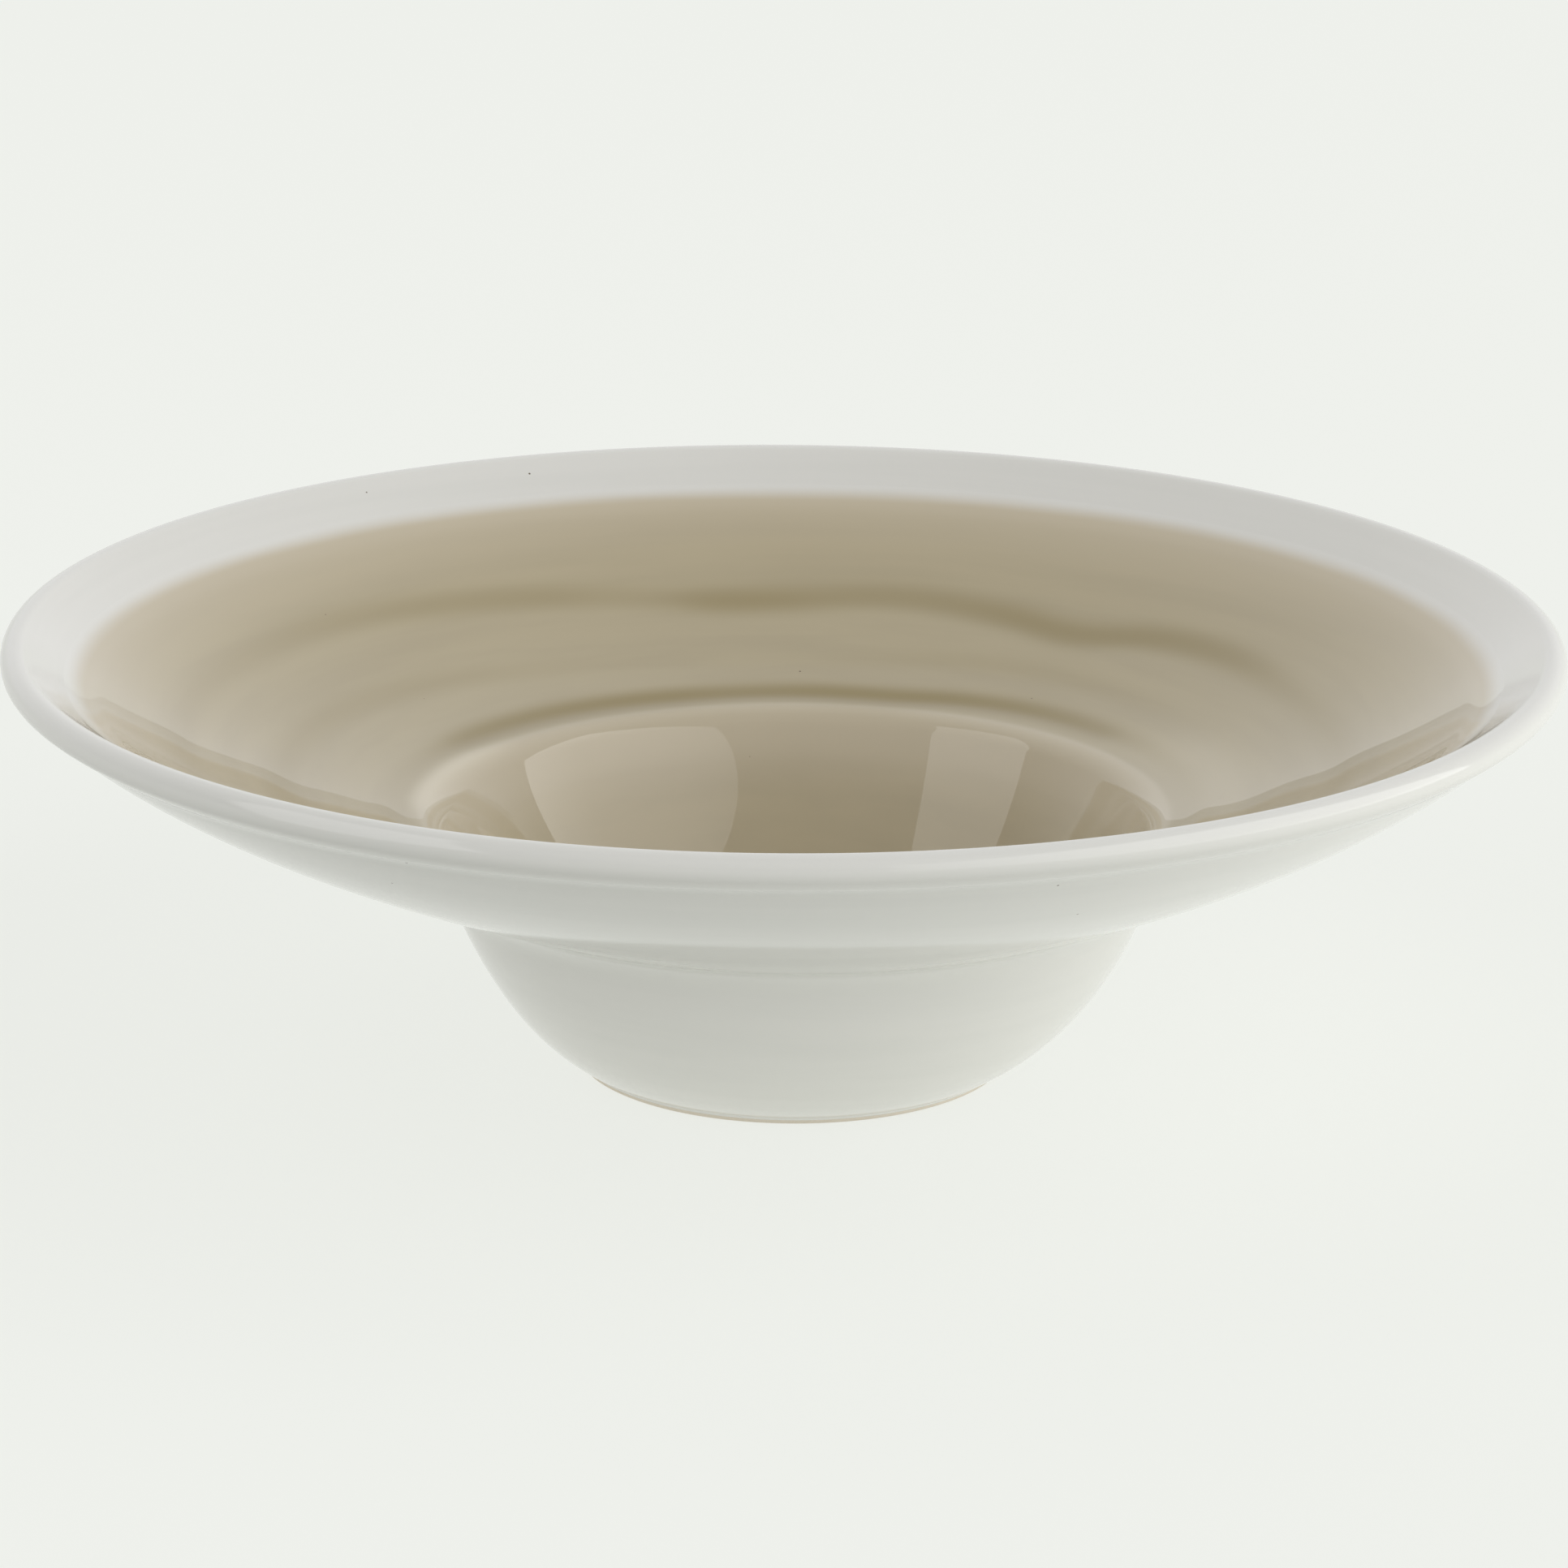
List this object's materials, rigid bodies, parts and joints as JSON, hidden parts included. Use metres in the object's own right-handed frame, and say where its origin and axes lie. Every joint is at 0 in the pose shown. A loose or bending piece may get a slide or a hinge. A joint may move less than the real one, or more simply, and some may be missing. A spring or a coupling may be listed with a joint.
{
  "type": "risotto plate",
  "caption": "Deep round plate for risotto or pasta: a broad dished rim with a rounded lip runs down into a deep well on a low foot ring, glazed white outside and taupe inside.",
  "frame": {"origin": "on the axis of the plate, in the plane of the foot ring's face that stands on the table", "axes": "+Z is the axis of the plate, up out of the well. The plate is round, so +X and +Y are any two directions across it; -Y faces the viewer of the picture."},
  "size_m": [0.27, 0.27, 0.078],
  "materials": {
    "stoneware": "bare fired stoneware, matt and slightly sandy, pale beige",
    "white_glaze": "glossy warm white glaze with a few fine dark specks",
    "taupe_glaze": "glossy taupe glaze, darker and greener where it pools in the throwing rings, fading softly into the white below the lip"
  },
  "bodies": {
    "root": {"clay_body": "stoneware", "white_glaze": "white_glaze", "taupe_glaze": "taupe_glaze", "base_glaze": "white_glaze"}
  },
  "joints": []
}
